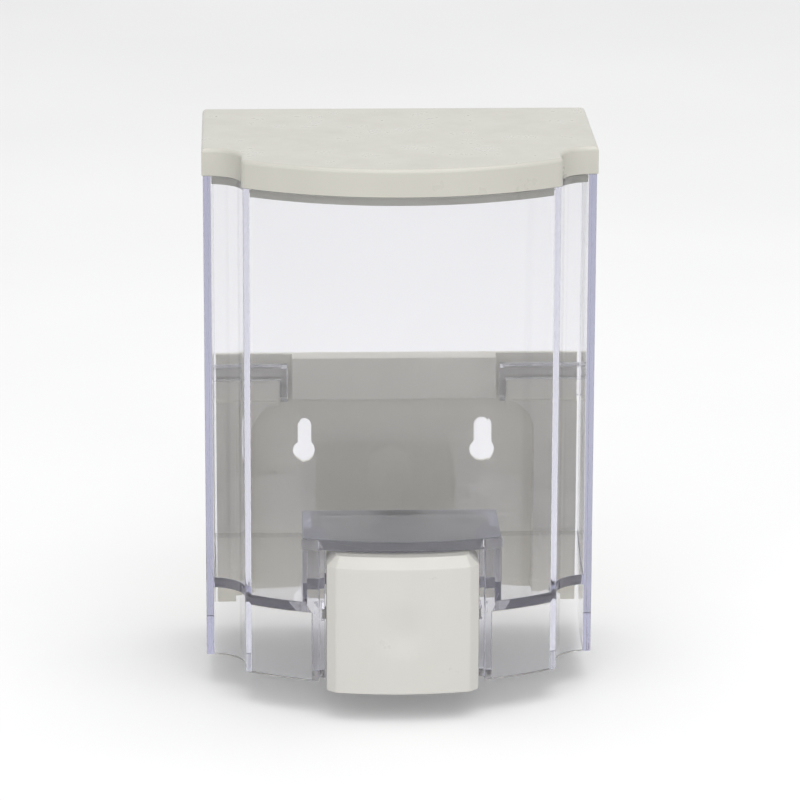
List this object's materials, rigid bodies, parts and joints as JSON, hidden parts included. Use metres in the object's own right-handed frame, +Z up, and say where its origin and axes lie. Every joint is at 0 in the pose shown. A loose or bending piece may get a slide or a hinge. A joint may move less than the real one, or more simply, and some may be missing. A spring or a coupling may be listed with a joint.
{
  "type": "wall mounted soap dispenser",
  "caption": "Wall-mounted push-button soap dispenser with a clear bulk reservoir, a hinged lid, a piston pump and a keyhole wall bracket.",
  "frame": {"origin": "on the wall plane, at the centre of the pattern of the bracket's two keyholes, at the height of their wide round ends", "axes": "+X to the right as seen from the room, +Y into the wall, +Z up; the push button faces -Y"},
  "size_m": [0.1208, 0.098, 0.1627],
  "materials": {
    "clear_plastic": "clear moulded styrene-acrylonitrile, polished, with a faint violet tint at its edges",
    "off_white_plastic": "warm off-white moulded ABS, semi-gloss",
    "bracket_plastic": "off-white moulded ABS, satin, a little greyer than the lid",
    "pump_plastic": "natural white acetal, satin",
    "black_rubber": "nitrile rubber, matt",
    "steel": "stainless steel, drawn or ground"
  },
  "bodies": {
    "bracket": {"wall_bracket": "bracket_plastic"},
    "tank": {"reservoir": "clear_plastic", "hinge_pin_left": "steel", "hinge_pin_right": "steel", "pump_body": "pump_plastic", "pump_gasket": "black_rubber", "nut_washer": "black_rubber", "pump_nut": "pump_plastic", "cylinder_cap": "pump_plastic", "rod_seal": "black_rubber", "inlet_elbow": "pump_plastic", "return_spring": "steel"},
    "lid": {"lid": "off_white_plastic"},
    "plunger": {"push_button": "off_white_plastic", "plunger_rod": "pump_plastic", "piston": "pump_plastic", "piston_seal": "black_rubber", "nozzle": "pump_plastic", "outlet_spring": "steel"},
    "inlet_ball": {"inlet_ball": "steel"},
    "outlet_ball": {"outlet_ball": "steel"}
  },
  "joints": [
    {"name": "tank_lift", "type": "slide", "parent": "bracket", "child": "tank", "axis": [0, 0, 1], "range_m": [0, 0.009]},
    {"name": "lid_hinge", "type": "hinge", "parent": "tank", "child": "lid", "pos_m": [0, -0.0064, 0.1071], "axis": [-1, 0, 0], "range_deg": [0, 90]},
    {"name": "button_slide", "type": "slide", "parent": "tank", "child": "plunger", "axis": [0, 1, 0], "range_m": [0, 0.008], "stiffness_N_per_m": 350, "springref_m": -0.006, "deforming": ["return_spring"]},
    {"name": "inlet_ball_lift", "type": "slide", "parent": "tank", "child": "inlet_ball", "axis": [0, -1, 0], "range_m": [0, 0.0012]},
    {"name": "outlet_ball_lift", "type": "slide", "parent": "plunger", "child": "outlet_ball", "axis": [0, -1, 0], "range_m": [0, 0.001], "stiffness_N_per_m": 50, "springref_m": -0.001, "deforming": ["outlet_spring"]}
  ]
}
